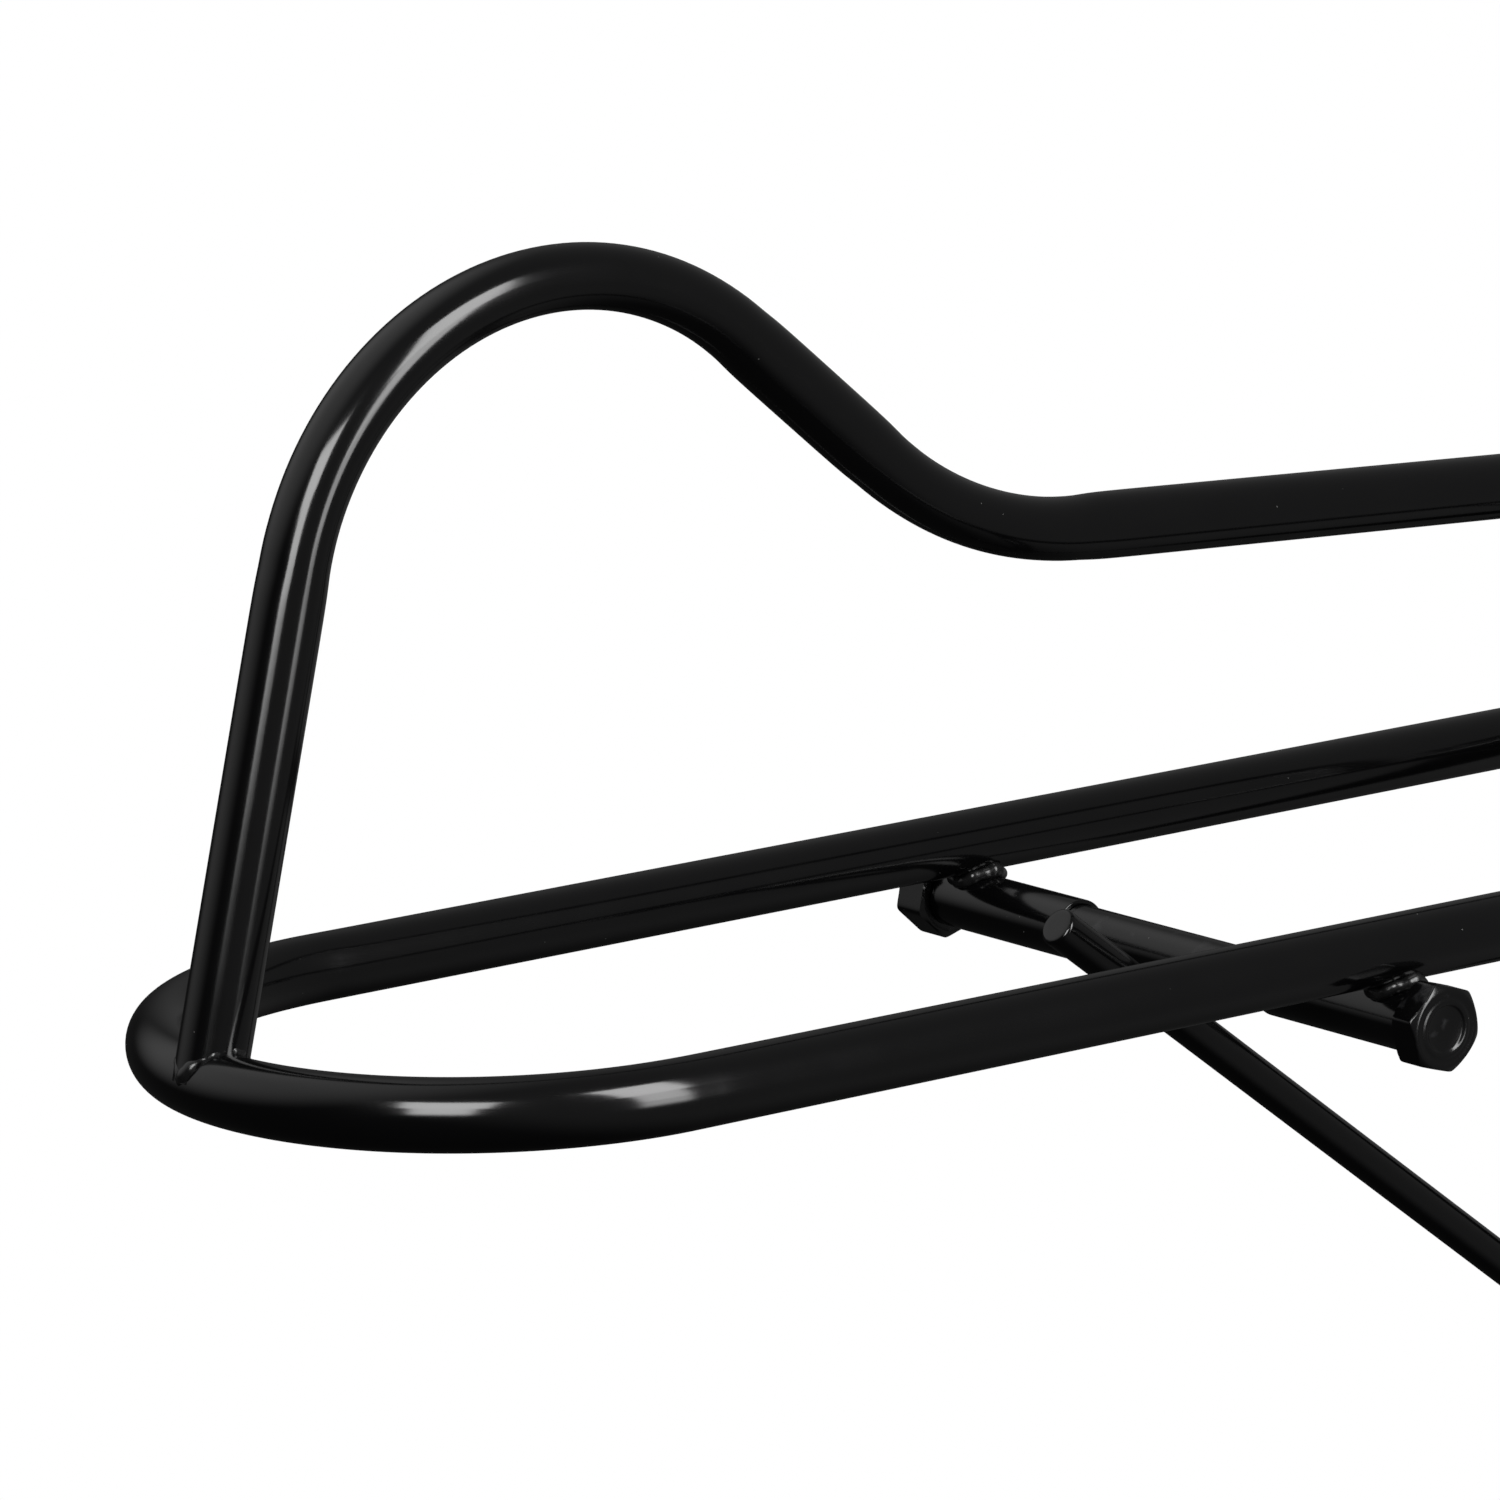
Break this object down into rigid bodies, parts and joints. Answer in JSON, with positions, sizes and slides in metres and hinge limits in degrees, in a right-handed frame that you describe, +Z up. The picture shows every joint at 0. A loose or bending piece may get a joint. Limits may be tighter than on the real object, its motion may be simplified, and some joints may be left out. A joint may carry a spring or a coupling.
{
  "type": "folding saddle rack",
  "caption": "Wall-mounted folding rack of round steel tube: a loop of side rails, a humped spine above it and a swinging diagonal brace below.",
  "frame": {"origin": "on the wall face of the wall channel, in the plane of the side rails, in the rack's mid-plane", "axes": "+X into the wall, so the rack stands out along -X; +Y across the rack; +Z up"},
  "size_m": [0.6555, 0.247, 0.5326],
  "materials": {
    "gloss_black_paint": "gloss",
    "painted_weld": "gloss",
    "painted_fastener": "gloss",
    "zinc_fastener": "satin",
    "nylon": "matte",
    "black_plastic": "matte",
    "black_rubber": "matte"
  },
  "bodies": {
    "wall_bracket": {"wall_channel": "gloss_black_paint", "foot_seat": "gloss_black_paint", "hinge_bolt": "zinc_fastener", "hinge_nut": "zinc_fastener", "hinge_washers": "zinc_fastener"},
    "rack_frame": {"side_rail_loop": "gloss_black_paint", "spine_tube": "gloss_black_paint", "rear_crossbar": "gloss_black_paint", "hinge_barrel": "gloss_black_paint", "hinge_bushes": "nylon", "hinge_gussets": "gloss_black_paint", "rail_end_plugs": "black_plastic", "near_pivot_sleeve": "gloss_black_paint", "far_pivot_sleeve": "gloss_black_paint", "leg_weld": "painted_weld", "near_sleeve_weld": "painted_weld", "far_sleeve_weld": "painted_weld", "crossbar_welds": "painted_weld", "spine_weld": "painted_weld"},
    "brace": {"brace_bar": "gloss_black_paint", "brace_weld": "painted_weld", "pivot_bolt": "painted_fastener", "pivot_nut": "painted_fastener", "brace_foot": "black_rubber"}
  },
  "joints": [
    {"name": "frame_fold", "type": "hinge", "parent": "wall_bracket", "child": "rack_frame", "pos_m": [-0.048, 0, 0], "axis": [0, -1, 0], "range_deg": [0, 90]},
    {"name": "brace_swing", "type": "hinge", "parent": "rack_frame", "child": "brace", "pos_m": [-0.306, 0, -0.02], "axis": [0, 1, 0], "range_deg": [0, 139]}
  ],
  "couplings": [
    {"joint": "brace_swing", "follows": "frame_fold", "ratio": 1.5444}
  ]
}
